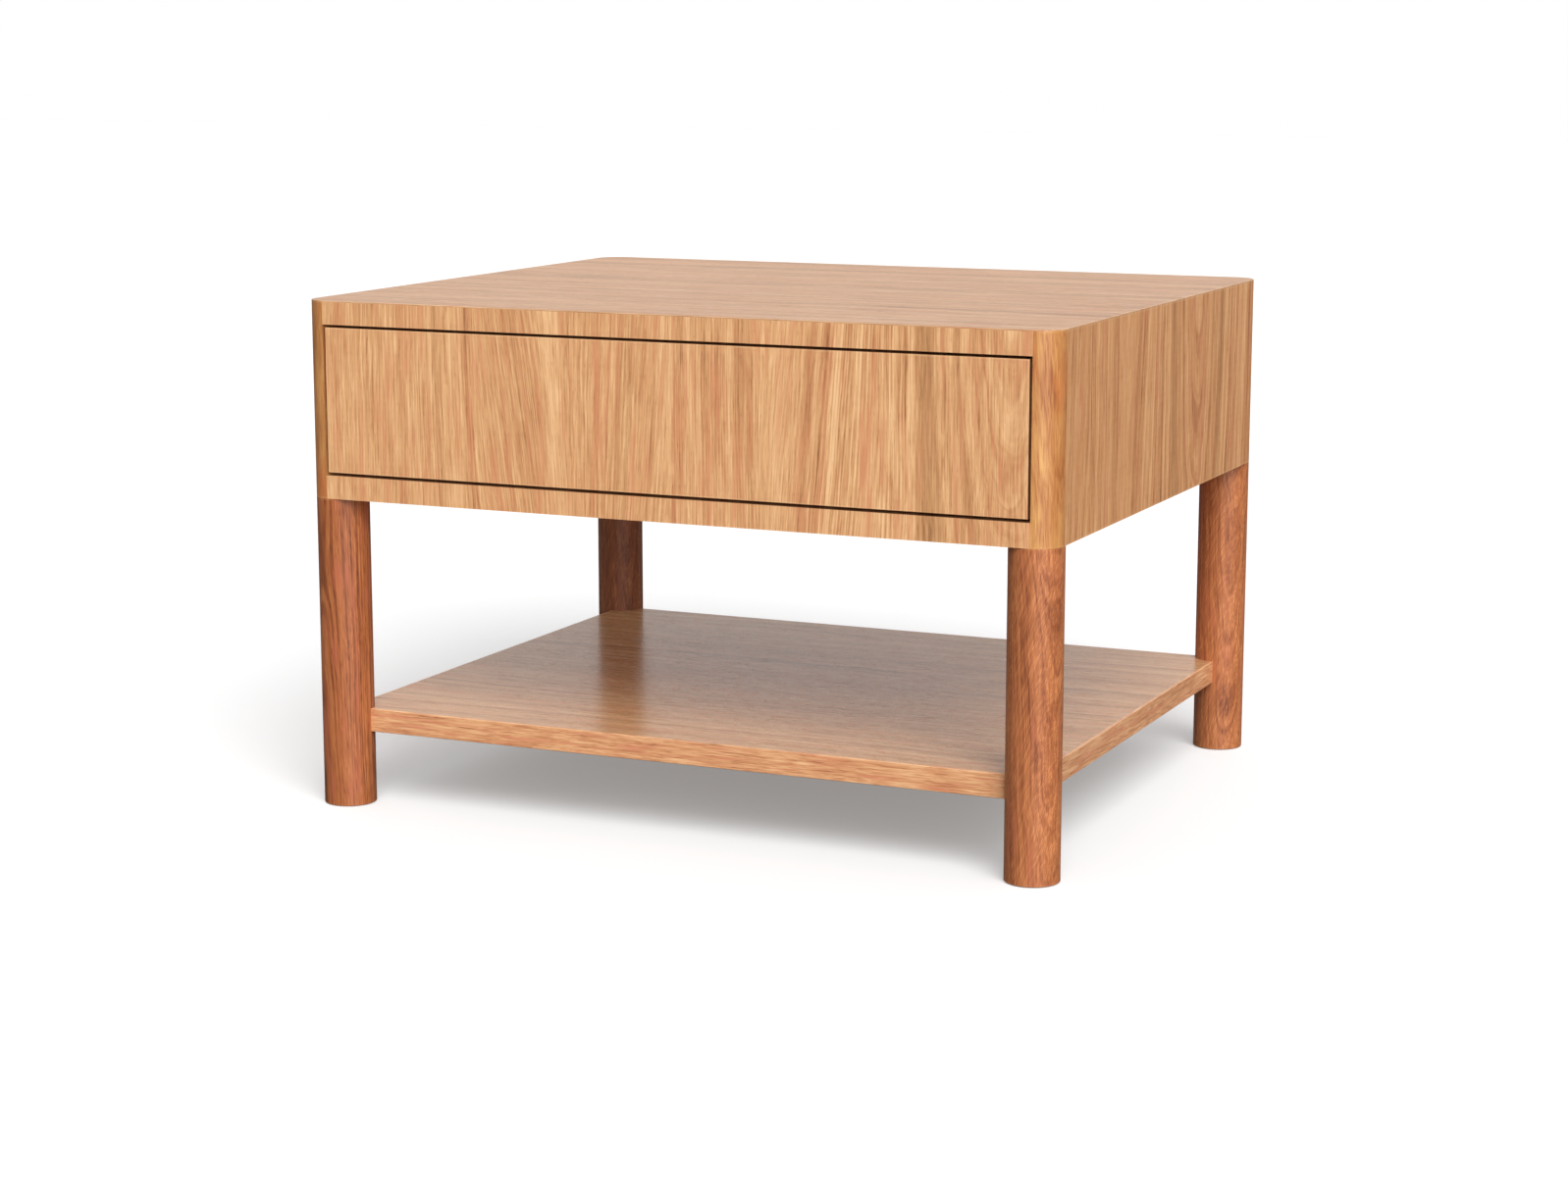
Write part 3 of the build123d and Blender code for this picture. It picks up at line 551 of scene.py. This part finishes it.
SOLID_STOPS = (0.0, 0.36, 0.68, 1.0)
GRAIN_LEAN, GRAIN_BEND = 0.05, 9 * MM  # how the growth rings lean and bend along a piece
FLECK_SLANT = -0.42
SOLID_RINGS, SOLID_PORES = 1.3, 0.3  # how strongly they darken it
SOLID_ROUGHNESS = 0.30


def solid_oak(
    name, rubbed, centre, pith, along_axis, palette, ring_width, seed, patch, fibres, line,
    fleck=0.0, matte=0.0,
):
    """Solid oak, its growth rings about a pith line that leans slightly off the grain."""
    graph = Graph(name)
    line_length, line_strength = line
    first, second = [axis for axis in "XYZ" if axis != along_axis]
    along = graph.place[along_axis]
    side = graph.minus(graph.place[first], centre[0] + pith[0])
    depth = graph.minus(graph.place[second], centre[1] + pith[1])
    bend = graph.streak_noise(
        side, along, depth, width=30 * MM, length=90 * MM, detail=1.0, seed=seed
    )
    leaning = graph.math("MULTIPLY_ADD", along, GRAIN_LEAN, side)
    side = graph.plus(leaning, graph.times(bend, GRAIN_BEND))
    radius = graph.math("SQRT", graph.plus(graph.times(side, side), graph.times(depth, depth)))
    ring, place = (radius, along, seed), (side, along, depth)
    rings = graph.streak_noise(*ring, width=ring_width, length=150 * MM, detail=2.0, seed=seed)
    lines = graph.streak_noise(*ring, width=1.0 * MM, length=line_length, detail=1.0, seed=seed)
    patches = graph.streak_noise(*place, width=11 * MM, length=34 * MM, detail=1.0, seed=seed + 7)
    fibre = graph.streak_noise(*place, width=1.0 * MM, length=22 * MM, detail=2.0, seed=seed + 3)
    pore = graph.streak_noise(*place, width=0.8 * MM, length=9 * MM, detail=0.0, seed=seed + 5)
    pores = graph.step(pore, 0.58, 0.70)
    slanted = graph.math("MULTIPLY_ADD", along, FLECK_SLANT, side)
    flecks = graph.streak_noise(
        slanted, along, depth, width=1.1 * MM, length=24 * MM, detail=1.0, seed=seed + 9
    )
    shade = graph.times(graph.centred(rings), SOLID_RINGS)
    for layer, strength in (
        (graph.step(lines, 0.46, 0.64), line_strength),
        (graph.centred(patches), patch),
        (graph.centred(fibre), fibres),
        (pores, SOLID_PORES),
        (graph.step(flecks, 0.46, 0.62), -fleck),
    ):
        shade = graph.plus(shade, graph.times(layer, strength))
    tone = graph.tone(shade, contrast=0.5, middle=0.36 + fleck / 5)
    pale, blush = linear(palette[0]), linear(palette[-1])
    colour = graph.ramp(tone, list(zip(SOLID_STOPS, map(linear, palette))))[0]
    flush = graph.streak_noise(*ring, width=3.2 * MM, length=50 * MM, detail=1.0, seed=seed + 12)
    colour = graph.mix(graph.step(flush, 0.5, 0.75, to_high=0.7), colour, blush)
    rub = rubbed_edge(graph, *rubbed)
    colour = graph.mix(graph.times(rub, RUB_PALER), colour, pale)
    height = graph.minus(graph.times(fibre, FIBRE_HEIGHT), graph.times(pores, PORE_DEPTH))
    graph.bump(height, SOLID_RELIEF)
    fibre_gloss = graph.plus(graph.times(fibre, FIBRE_ROUGHNESS), SOLID_ROUGHNESS + matte)
    gloss = graph.math("MULTIPLY_ADD", rub, -RUB_SMOOTHER, fibre_gloss)
    return graph.surface(base_color=colour, roughness=gloss)


# ------------------------------------------------------------------ hidden wood
BROAD_ROUGHNESS = 0.15  # roughness that the broad figure of hidden wood adds


def plain_wood(name, palette, along_axis, width, seed):
    """Even, close-grained wood, such as beech dowels."""
    graph = Graph(name)
    first, second = [axis for axis in "XYZ" if axis != along_axis]
    place = (graph.place[first], graph.place[along_axis], graph.place[second])
    broad = graph.streak_noise(*place, width=width, length=12 * width, detail=2.0, seed=seed)
    fibre = graph.streak_noise(*place, width=0.5 * MM, length=9 * MM, detail=1.0, seed=seed + 2)
    broad_shade = graph.times(graph.centred(broad), 0.9)
    shade = graph.plus(broad_shade, graph.times(graph.centred(fibre), 0.5))
    tone = graph.tone(shade, contrast=0.6, middle=0.45)
    stops = list(zip((0.1, 0.5, 0.95), map(linear, palette)))
    graph.bump(fibre, 0.04 * MM)
    gloss = graph.plus(graph.times(broad, BROAD_ROUGHNESS), 0.42)
    return graph.surface(base_color=graph.ramp(tone, stops)[0], roughness=gloss)


PLY = 1.5 * MM  # thickness of one ply
PLY_LINES = 1.1  # how strongly the plies show on an edge


def birch_plywood(name):
    """Birch plywood: pale faces, and the plies' darker and paler lines on its upper edges."""
    graph = Graph(name)
    x, y, z = graph.place["X"], graph.place["Y"], graph.place["Z"]
    broad = graph.streak_noise(z, y, x, width=14 * MM, length=160 * MM, detail=2.0, seed=4.0)
    fibre = graph.streak_noise(z, y, x, width=0.6 * MM, length=12 * MM, detail=1.0, seed=6.0)
    geometry = graph.node("ShaderNodeNewGeometry")
    normal = graph.node("ShaderNodeSeparateXYZ")
    graph.feed(normal.inputs[0], geometry.outputs["Normal"])
    upward = graph.step(graph.math("ABSOLUTE", normal.outputs[2]), 0.7, 0.9)
    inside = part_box("drawer_sub_front")[1].y + MM
    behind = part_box("drawer_back")[0].y - MM
    in_front = graph.step(y, behind, behind + MM, to_low=1.0, to_high=0.0)
    on_sides = graph.times(graph.step(y, inside - MM, inside), in_front)
    side_plies = graph.times(graph.math("PINGPONG", x, PLY), on_sides)
    end_plies = graph.times(graph.math("PINGPONG", y, PLY), graph.minus(1.0, on_sides))
    plies = graph.plus(side_plies, end_plies)
    lines = graph.times(graph.step(plies, 0.45 * PLY, 0.62 * PLY), upward)
    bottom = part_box("drawer_bottom")[1].z + MM
    lines = graph.times(lines, graph.step(z, bottom, bottom + MM))
    broad_shade = graph.times(graph.centred(broad), 0.8)
    shade = graph.plus(broad_shade, graph.times(graph.centred(fibre), 0.5))
    shade = graph.plus(shade, graph.times(lines, PLY_LINES))
    tone = graph.tone(shade, contrast=0.5, middle=0.4)
    stops = [
        (0.05, linear((230, 210, 176))),
        (0.45, linear((214, 188, 150))),
        (0.75, linear((192, 158, 118))),
        (1.0, linear((160, 118, 78))),
    ]
    graph.bump(graph.plus(fibre, graph.times(lines, -0.4)), 0.04 * MM)
    gloss = graph.plus(graph.times(broad, BROAD_ROUGHNESS), 0.38)
    return graph.surface(base_color=graph.ramp(tone, stops)[0], roughness=gloss)


# ------------------------------------------------------------------ metal and plastic
def dimmed(colour, share):
    """A display colour as linear light, dimmed to a share."""
    return [part * share for part in linear(colour)[:3]] + [1.0]


def zinc(name, colour, along_axis="Y", rough=0.34):
    """Zinc-plated or bright steel with rolling marks along it and faint staining."""
    graph = Graph(name)
    first, second = [axis for axis in "XYZ" if axis != along_axis]
    side, depth, along = graph.place[first], graph.place[second], graph.place[along_axis]
    rolled = graph.streak_noise(
        side, along, depth, width=0.4 * MM, length=30 * MM, detail=2.0, seed=1.0
    )
    stain = graph.noise(graph.point(side, depth, along), detail=3.0, roughness=0.6, scale=90.0)
    tone = graph.mix(graph.step(stain, 0.35, 0.75), linear(colour), dimmed(colour, 0.72))
    graph.bump(rolled, 0.01 * MM)
    stained = graph.math("MULTIPLY_ADD", stain, 0.14, rough - 0.15)
    gloss = graph.plus(graph.times(rolled, 0.16), stained)
    return graph.surface(base_color=tone, roughness=gloss, metallic=1.0)


def moulded_plastic(name, colour, rough):
    """Moulded plastic with a fine spark-eroded grain and slight clouding."""
    graph = Graph(name)
    place = graph.point(*graph.place.values())
    grain = graph.noise(place, detail=2.0, roughness=0.6, scale=2600.0)
    cloud = graph.noise(place, detail=2.0, roughness=0.5, scale=140.0)
    graph.bump(grain, 0.02 * MM)
    tone = graph.mix(graph.step(cloud, 0.3, 0.8), linear(colour), dimmed(colour, 0.82))
    gloss = graph.plus(graph.times(grain, 0.18), rough - 0.09)
    return graph.surface(base_color=tone, roughness=gloss)


# ------------------------------------------------------------------ materials on the CAD nodes
def give(material, *names):
    """Put a material on the named CAD nodes."""
    for name in names:
        for slot in nodes[name].material_slots:
            slot.material = material


def middle(name, first, second):
    """The middle of a node across two axes."""
    low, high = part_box(name)
    return (low[first] + high[first]) / 2, (low[second] + high[second]) / 2


slot_nodes = {}
for subpart in frame["record"]["subparts"]:
    slot_nodes.setdefault(subpart["material_slot"], []).append(subpart["node"])

veneers = (
    (flitch_veneer("oak_front", "X", "drawer_front", FRONT_PALETTE), slot_nodes["oak_front"]),
    (
        flitch_veneer("oak_right", "Y", "right_side_panel", SIDE_PALETTE, SIDE_SHIFT, crisp=1.5),
        ["right_side_panel"],
    ),
    (
        flitch_veneer("oak_left", "Y", "left_side_panel", SIDE_PALETTE, LEFT_SHIFT, -1.0, 1.2),
        ["left_side_panel"],
    ),
    (
        flitch_veneer("oak_back", "X", "back_panel", FRONT_PALETTE, BACK_SHIFT, -1.0, 1.2),
        ["back_panel"],
    ),
    (
        flat_veneer("oak_top", "top_veneer", TOP_STREAKS, 2.0, TOP_PALETTE, 0.34),
        slot_nodes["oak_top"],
    ),
    (
        flat_veneer("oak_shelf", "shelf_board", SHELF_STREAKS, 9.0, SHELF_PALETTE, 0.20),
        slot_nodes["oak_shelf"],
    ),
    (
        flat_veneer("panel_core", "top_panel", TOP_STREAKS, 5.0, CORE_PALETTE, 0.4),
        slot_nodes["panel_core"],
    ),
)
for material, names in veneers:
    give(material, *names)
# From the middle of each leg and post to the pith its growth rings go round.
PITHS = {
    "front_left": (45 * MM, 60 * MM),
    "front_right": (-30 * MM, 26 * MM),
    "back_left": (50 * MM, -40 * MM),
    "back_right": (-24 * MM, 34 * MM),
}
for seed, (corner, pith) in enumerate(PITHS.items()):
    leg, post = f"{corner}_leg", f"{corner}_post"
    lined = corner == "front_left"
    leg_looks = dict(
        # The back left leg gets darker colours as painted shade.
        palette={"front_left": LINED_LEG, "back_left": SHADED_LEG}.get(corner, FLECKED_LEG),
        ring_width=3.2 * MM,
        seed=13.0 * seed,
        patch=0.2,
        fibres=1.6,
        line=(240 * MM, 0.65) if lined else (110 * MM, 0.55),
        fleck=0.0 if lined else 0.45,
        matte=0.12,
    )
    post_looks = dict(
        palette=POST_PALETTE,
        ring_width=6 * MM,
        seed=40 + 11.0 * seed,
        patch=1.3,
        fibres=1.9,
        line=(60 * MM, 0.25),
    )
    for piece, looks in ((leg, leg_looks), (post, post_looks)):
        place = middle(piece, 0, 1)
        give(solid_oak(f"oak_{piece}", (piece, "Z"), place, pith, "Z", **looks), piece)
BAND_PITH = (9 * MM, 30 * MM)
for seed, (edge, axis) in enumerate({"front": "X", "back": "X", "left": "Y", "right": "Y"}.items()):
    band = f"shelf_{edge}_edge_band"
    place = middle(band, 1, 2) if axis == "X" else middle(band, 0, 2)
    rubbed = (band, "Z", 1.2 * MM)
    edge_looks = dict(
        palette=EDGE_PALETTE,
        ring_width=2.6 * MM,
        seed=90.0 + seed,
        patch=0.9,
        fibres=2.7,
        line=(40 * MM, 0.5),
    )
    give(solid_oak(f"oak_{edge}_edge", rubbed, place, BAND_PITH, axis, **edge_looks), band)

BEECH_PALETTE = ((226, 184, 140), (206, 160, 116), (176, 128, 88))
for slot, finish, *looks in (
    ("birch_ply", birch_plywood),
    ("beech", plain_wood, BEECH_PALETTE, "Y", 3 * MM, 8.0),
    ("runner_steel", zinc, (206, 210, 214)),
    ("zinc_steel", zinc, (204, 206, 208), "Y", 0.3),
    ("spring_steel", zinc, (176, 178, 182), "Y", 0.26),
    ("ball_steel", zinc, (226, 228, 230), "Y", 0.2),
    ("brass", zinc, (214, 176, 96), "Z", 0.32),
    ("cage_plastic", moulded_plastic, (224, 226, 220), 0.45),
    ("latch_plastic", moulded_plastic, (118, 121, 124), 0.42),
    ("plunger_plastic", moulded_plastic, (206, 207, 205), 0.4),
    ("nylon", moulded_plastic, (62, 56, 52), 0.5),
):
    give(finish(slot, *looks), *slot_nodes[slot])

# ------------------------------------------------------------------ latch springs
# A spring lengthens and shortens, so each is a new coil drawn out between its plunger and the case.
SPRING_TURNS, TURN_STEPS, WIRE_SIDES, WIRE_RADIUS = 8, 24, 8, 0.3 * MM


def coil_spring(side):
    """A coil along Y, behind one plunger."""
    spring_low, spring_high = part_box("latch_springs")
    plunger_low, plunger_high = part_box(f"{side}_latch_plunger")
    axis_x, axis_z = (plunger_low.x + plunger_high.x) / 2, (plunger_low.z + plunger_high.z) / 2
    start, end = spring_low.y + WIRE_RADIUS, spring_high.y - WIRE_RADIUS
    radius = (spring_high.z - spring_low.z) / 2 - WIRE_RADIUS
    coil = bmesh.new()
    rings = []
    for step in range(SPRING_TURNS * TURN_STEPS + 1):
        angle = 2 * math.pi * step / TURN_STEPS
        along = start + (end - start) * step / (SPRING_TURNS * TURN_STEPS)
        ring = []
        for corner in range(WIRE_SIDES):
            turn = 2 * math.pi * corner / WIRE_SIDES
            out = radius + WIRE_RADIUS * math.cos(turn)
            y = along + WIRE_RADIUS * math.sin(turn)
            x, z = axis_x + out * math.cos(angle), axis_z + out * math.sin(angle)
            ring.append(coil.verts.new((x, y, z)))
        rings.append(ring)
    for ring, following in zip(rings, rings[1:]):
        for corner in range(WIRE_SIDES):
            after = (corner + 1) % WIRE_SIDES
            coil.faces.new((ring[corner], ring[after], following[after], following[corner]))
    coil.faces.new(rings[0])
    coil.faces.new(reversed(rings[-1]))
    bmesh.ops.recalc_face_normals(coil, faces=coil.faces)
    for face in coil.faces:
        face.smooth = len(face.verts) == 4
    mesh = bpy.data.meshes.new(f"{side}_latch_spring")
    coil.to_mesh(mesh)
    coil.free()
    spring = bpy.data.objects.new(mesh.name, mesh)
    bpy.context.scene.collection.objects.link(spring)
    mesh.materials.append(nodes["latch_springs"].material_slots[0].material)
    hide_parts("latch_springs")
    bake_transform(spring)


for side in ("left", "right"):
    coil_spring(side)

# ------------------------------------------------------------------ floor, light and camera
scene = bpy.context.scene
WHITE = (1, 1, 1, 1)
FLOOR_SIZE = 30.0
FLOOR_PALE, FLOOR_DIM, FLOOR_GLOW = (0.72, 0.72, 0.72, 1), (0.7, 0.7, 0.7, 1), 0.24
bpy.ops.mesh.primitive_plane_add(size=FLOOR_SIZE)
floor = bpy.context.object
floor.name = "floor"
floor.visible_glossy = False
floor.visible_diffuse = False
floor_graph = Graph("floor")
floor_place = floor_graph.point(floor_graph.place["X"], floor_graph.place["Y"], 0.0)
mottle = floor_graph.noise(floor_place, detail=2.0, roughness=0.5, scale=4.0)
floor_graph.surface(
    base_color=floor_graph.mix(mottle, FLOOR_PALE, FLOOR_DIM),
    roughness=0.9,
    emission_color=WHITE,
    emission_strength=FLOOR_GLOW,
)
floor_graph.feed(floor_graph.shader.inputs["Specular IOR Level"], 0.0)
floor.data.materials.append(floor_graph.material)

# A studio with a bright ceiling, a glowing wall behind the table and dark lower walls. Places in it
# are parts of a direction from the table, whose length is 1.
CEILING, WALL, UNDERSIDE = 0.55, 0.70, 0.12
CEILING_FROM, CEILING_FULL = -0.05, 0.5  # heights
WALL_X, WALL_Y = -0.4, 0.9  # the wall stands mostly behind, a little to the left
WALL_FROM, WALL_FULL = 0.1, 0.8
WALL_FOOT, WALL_CLEAR = -0.04, 0.02  # heights
world = bpy.data.worlds.new("studio")
scene.world = world
world.use_nodes = True
world_nodes, world_links = world.node_tree.nodes, world.node_tree.links


def world_math(operation, *values):
    """A math node for the world, fed with sockets or constants."""
    node = world_nodes.new("ShaderNodeMath")
    node.operation = operation
    for socket, value in zip(node.inputs, values):
        if isinstance(value, bpy.types.NodeSocket):
            world_links.new(value, socket)
        else:
            socket.default_value = value
    return node.outputs[0]


def world_step(value, low, high, to_low, to_high):
    """A smooth step for the world, from to_low to to_high as value goes from low to high."""
    node = world_nodes.new("ShaderNodeMapRange")
    node.interpolation_type = "SMOOTHSTEP"
    world_links.new(value, node.inputs[0])
    for socket, number in zip(node.inputs[1:5], (low, high, to_low, to_high)):
        socket.default_value = number
    return node.outputs[0]


direction = world_nodes.new("ShaderNodeSeparateXYZ")
world_links.new(world_nodes.new("ShaderNodeTexCoord").outputs["Generated"], direction.inputs[0])
ahead_x, ahead_y, height = direction.outputs
ceiling = world_step(height, CEILING_FROM, CEILING_FULL, UNDERSIDE, CEILING)
backwards = world_math("MULTIPLY_ADD", ahead_x, WALL_X, world_math("MULTIPLY", ahead_y, WALL_Y))
wall = world_math(
    "MULTIPLY",
    world_step(backwards, WALL_FROM, WALL_FULL, 0.0, WALL),
    world_step(height, WALL_FOOT, WALL_CLEAR, 0.0, 1.0),
)
background = world_nodes["Background"]
background.inputs["Color"].default_value = WHITE
world_links.new(world_math("MAXIMUM", ceiling, wall), background.inputs["Strength"])
# The room looks white behind the table, whatever light it sheds on it.
white_room = world_nodes.new("ShaderNodeBackground")
white_room.inputs["Color"].default_value = WHITE
seen = world_nodes.new("ShaderNodeLightPath")
choose = world_nodes.new("ShaderNodeMixShader")
world_links.new(seen.outputs["Is Camera Ray"], choose.inputs[0])
world_links.new(background.outputs[0], choose.inputs[1])
world_links.new(white_room.outputs[0], choose.inputs[2])
world_links.new(choose.outputs[0], world_nodes["World Output"].inputs["Surface"])


def sun(name, direction, strength, spread):
    """A very soft sun, like a big softbox, shining along a direction."""
    light = bpy.data.lights.new(name, "SUN")
    light.energy = strength
    light.angle = spread
    lamp = bpy.data.objects.new(name, light)
    lamp.rotation_euler = Vector(direction).to_track_quat("-Z", "Y").to_euler()
    scene.collection.objects.link(lamp)


# One from high up, for the soft shadow on the floor, and one from low down, for the front and sides.
sun("softbox", (-0.42, 0.60, -0.80), strength=2.22, spread=math.radians(38))
sun("front_fill", (-0.70, 0.73, -0.22), strength=2.3, spread=math.radians(60))

LENS, SENSOR = 70.5, 36  # millimetres
CAMERA_PLACE = (0.9774, -2.2076, 0.5872)
CAMERA_DOWN, CAMERA_TURN = 0.1790, 0.4223
camera_data = bpy.data.cameras.new("camera")
camera_data.lens = LENS
camera_data.sensor_width = SENSOR
camera = bpy.data.objects.new("camera", camera_data)
camera.location = CAMERA_PLACE
camera.rotation_euler = (math.pi / 2 - CAMERA_DOWN, 0, CAMERA_TURN)
scene.collection.objects.link(camera)
scene.camera = camera
scene.view_settings.view_transform = "Standard"
